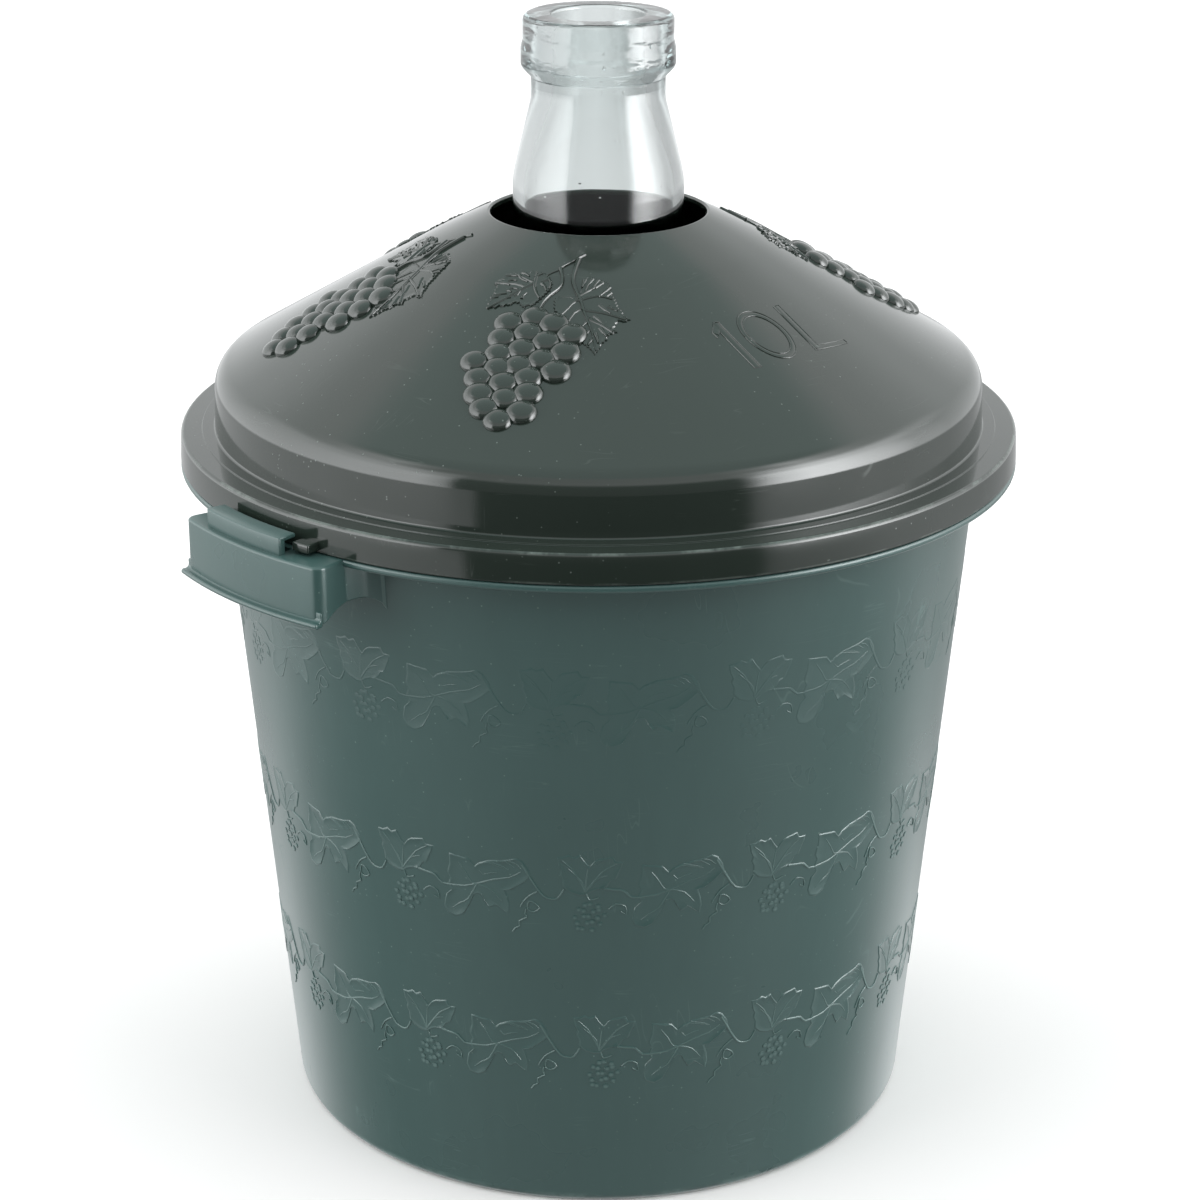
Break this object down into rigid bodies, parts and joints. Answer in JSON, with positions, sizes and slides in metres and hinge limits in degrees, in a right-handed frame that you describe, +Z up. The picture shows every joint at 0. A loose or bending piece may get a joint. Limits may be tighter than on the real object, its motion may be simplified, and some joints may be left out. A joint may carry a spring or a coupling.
{
  "type": "demijohn",
  "caption": "Round glass demijohn in a tapered moulded basket with two latch handles, under a coned lid that lifts off over the neck.",
  "frame": {"origin": "on the axis, at the bottom of the basket's foot ring, where the object stands", "axes": "+Z up along the axis; the two handles are on +X and -X; -Y is the front, with no bunch of grapes"},
  "size_m": [0.3248, 0.297, 0.3977],
  "materials": {
    "basket_plastic": "satin moulded, mid green",
    "bottle_glass": "clear, pale green, polished",
    "lid_plastic": "glossy moulded, dark green"
  },
  "bodies": {
    "basket": {"basket": "basket_plastic"},
    "bottle": {"bottle": "bottle_glass"},
    "lid": {"lid": "lid_plastic"}
  },
  "joints": [
    {"name": "bottle_lift", "type": "slide", "parent": "basket", "child": "bottle", "axis": [0, 0, 1], "range_m": [0, 0.26]},
    {"name": "lid_lift", "type": "slide", "parent": "bottle", "child": "lid", "axis": [0, 0, 1], "range_m": [0, 0.16]}
  ]
}
